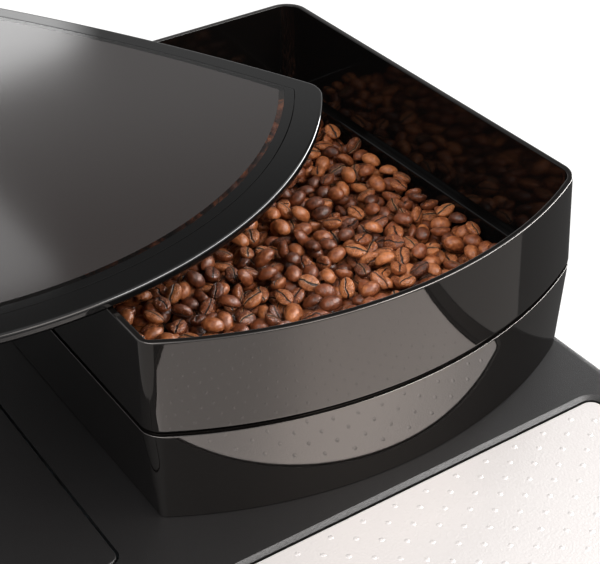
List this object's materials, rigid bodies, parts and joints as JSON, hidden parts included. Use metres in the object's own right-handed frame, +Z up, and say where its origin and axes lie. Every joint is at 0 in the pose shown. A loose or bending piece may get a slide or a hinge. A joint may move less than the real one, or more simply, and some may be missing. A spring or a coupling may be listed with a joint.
{
  "type": "bean to cup coffee machine",
  "caption": "Bean to cup coffee machine with a raised curved-front bean hopper under a swung-aside smoked lid, cup plate, cup bay, water tank and geared burr grinder.",
  "frame": {"origin": "on the table under the middle of the whole outline as pictured, with the lid swung aside", "axes": "+Z up; the front with the spout faces -Y; the water tank is on the -X side"},
  "size_m": [0.346, 0.5422, 0.3898],
  "materials": {
    "circuit_green": "solder mask",
    "clear_tint": "clear tinted plastic",
    "dark_plastic": "plain moulded",
    "gloss_black": "gloss black",
    "grey_metal": "cast",
    "hose_rubber": "silicone",
    "matte_black": "fine matte texture",
    "red_plastic": "moulded",
    "roasted_bean": "oily roasted coffee beans",
    "rubber": "matt",
    "smoked_window": "smoked clear plastic",
    "steel": "satin",
    "white_nylon": "moulded nylon"
  },
  "bodies": {
    "housing": {"base_pan": "matte_black", "bay_liner": "dark_plastic", "boiler": "grey_metal", "brew_chamber": "white_nylon", "brew_frame": "dark_plastic", "brew_hose": "hose_rubber", "brew_motor": "grey_metal", "chassis": "dark_plastic", "coffee_beans": "roasted_bean", "control_board": "circuit_green", "cup_plate": "steel", "display_lens": "smoked_window", "foot_front_left": "rubber", "foot_front_right": "rubber", "foot_rear_left": "rubber", "foot_rear_right": "rubber", "front_fascia": "gloss_black", "grinder_housing": "dark_plastic", "grinder_motor": "grey_metal", "hopper_base": "gloss_black", "hopper_funnel": "gloss_black", "hopper_ring": "gloss_black", "inlet_hose": "hose_rubber", "left_side_panel": "matte_black", "power_inlet": "dark_plastic", "pressure_hose": "hose_rubber", "pump": "grey_metal", "rear_panel": "matte_black", "right_side_panel": "matte_black", "tank_cradle": "dark_plastic", "tank_port": "white_nylon", "top_deck": "matte_black"},
    "hopper_lid": {"lid_frame": "gloss_black", "lid_window": "smoked_window"},
    "tank": {"water_tank": "clear_tint"},
    "tank_cover": {"tank_lid": "matte_black"},
    "tank_outlet_valve": {"tank_valve": "white_nylon"},
    "tray": {"drip_tray": "gloss_black", "drip_grate": "steel"},
    "level_float": {"drip_float": "red_plastic"},
    "waste_bin": {"grounds_bin": "dark_plastic"},
    "spout": {"spout_body": "gloss_black", "spout_nozzles": "steel"},
    "key_espresso": {"espresso_button": "steel"},
    "key_coffee": {"coffee_button": "steel"},
    "key_long_coffee": {"long_coffee_button": "steel"},
    "key_power": {"power_button": "steel"},
    "knob": {"selector_knob": "steel"},
    "side_door": {"service_door": "matte_black"},
    "rocker": {"power_switch": "dark_plastic"},
    "grind_ring": {"burr_carrier": "white_nylon", "upper_burr": "steel"},
    "grind_setting": {"grind_adjuster": "white_nylon"},
    "burr_spindle": {"lower_burr": "steel", "drive_gear": "white_nylon"},
    "pinion": {"motor_pinion": "steel"},
    "piston": {"brew_piston": "white_nylon"},
    "lead_screw": {"brew_screw": "steel"}
  },
  "joints": [
    {"name": "hopper_lid_swing", "type": "hinge", "parent": "housing", "child": "hopper_lid", "pos_m": [-0.09006, -0.06549, 0.3853], "axis": [0, 0, 1], "range_deg": [-27.25, 0]},
    {"name": "tank_pull", "type": "slide", "parent": "housing", "child": "tank", "axis": [-1, 0, 0], "range_m": [0, 0.075]},
    {"name": "tank_cover_hinge", "type": "hinge", "parent": "tank", "child": "tank_cover", "pos_m": [-0.11006, 0.07171, 0.3005], "axis": [0, -1, 0], "range_deg": [0, 95]},
    {"name": "tank_valve_push", "type": "slide", "parent": "tank", "child": "tank_outlet_valve", "axis": [1, 0, 0], "range_m": [-0.003, 0], "stiffness_N_per_m": 60},
    {"name": "tray_pull", "type": "slide", "parent": "housing", "child": "tray", "axis": [0, -1, 0], "range_m": [0, 0.16]},
    {"name": "float_rise", "type": "slide", "parent": "tray", "child": "level_float", "axis": [0, 0, 1], "range_m": [0, 0.008]},
    {"name": "bin_pull", "type": "slide", "parent": "housing", "child": "waste_bin", "axis": [0, -1, 0], "range_m": [0, 0.15]},
    {"name": "spout_height", "type": "slide", "parent": "housing", "child": "spout", "axis": [0, 0, 1], "range_m": [-0.04, 0]},
    {"name": "espresso_press", "type": "slide", "parent": "housing", "child": "key_espresso", "axis": [0, 1, 0], "range_m": [0, 0.0015], "stiffness_N_per_m": 400},
    {"name": "coffee_press", "type": "slide", "parent": "housing", "child": "key_coffee", "axis": [0, 1, 0], "range_m": [0, 0.0015], "stiffness_N_per_m": 400},
    {"name": "long_coffee_press", "type": "slide", "parent": "housing", "child": "key_long_coffee", "axis": [0, 1, 0], "range_m": [0, 0.0015], "stiffness_N_per_m": 400},
    {"name": "power_press", "type": "slide", "parent": "housing", "child": "key_power", "axis": [0, 1, 0], "range_m": [0, 0.0015], "stiffness_N_per_m": 400},
    {"name": "knob_turn", "type": "hinge", "parent": "housing", "child": "knob", "pos_m": [0.02994, -0.25379, 0.206], "axis": [0, -1, 0], "continuous": true},
    {"name": "side_door_hinge", "type": "hinge", "parent": "housing", "child": "side_door", "pos_m": [0.16994, 0.0492, 0.131], "axis": [0, 0, 1], "range_deg": [0, 95]},
    {"name": "rocker_tip", "type": "hinge", "parent": "housing", "child": "rocker", "pos_m": [0.09194, 0.1947, 0.08], "axis": [1, 0, 0], "range_deg": [0, 12]},
    {"name": "grind_ring_turn", "type": "hinge", "parent": "housing", "child": "grind_ring", "pos_m": [0.07144, 0.0762, 0.2491], "axis": [0, 0, 1], "range_deg": [-20, 20]},
    {"name": "grind_setting_turn", "type": "hinge", "parent": "housing", "child": "grind_setting", "pos_m": [0.03577, 0.10832, 0.2491], "axis": [0, 0, 1], "range_deg": [-90, 90]},
    {"name": "burr_spin", "type": "hinge", "parent": "housing", "child": "burr_spindle", "pos_m": [0.07144, 0.0762, 0.2088], "axis": [0, 0, 1], "continuous": true},
    {"name": "pinion_spin", "type": "hinge", "parent": "housing", "child": "pinion", "pos_m": [0.03544, 0.0762, 0.2088], "axis": [0, 0, 1], "continuous": true},
    {"name": "piston_travel", "type": "slide", "parent": "housing", "child": "piston", "axis": [0, 0, 1], "range_m": [-0.045, 0]},
    {"name": "screw_turn", "type": "hinge", "parent": "housing", "child": "lead_screw", "pos_m": [0.13194, -0.03379, 0.1276], "axis": [0, 0, 1], "range_deg": [-1, 1441]}
  ],
  "couplings": [
    {"joint": "grind_setting_turn", "follows": "grind_ring_turn", "ratio": -4.3333},
    {"joint": "pinion_spin", "follows": "burr_spin", "ratio": -3},
    {"joint": "screw_turn", "follows": "piston_travel", "rad_per_m": -558.51}
  ]
}
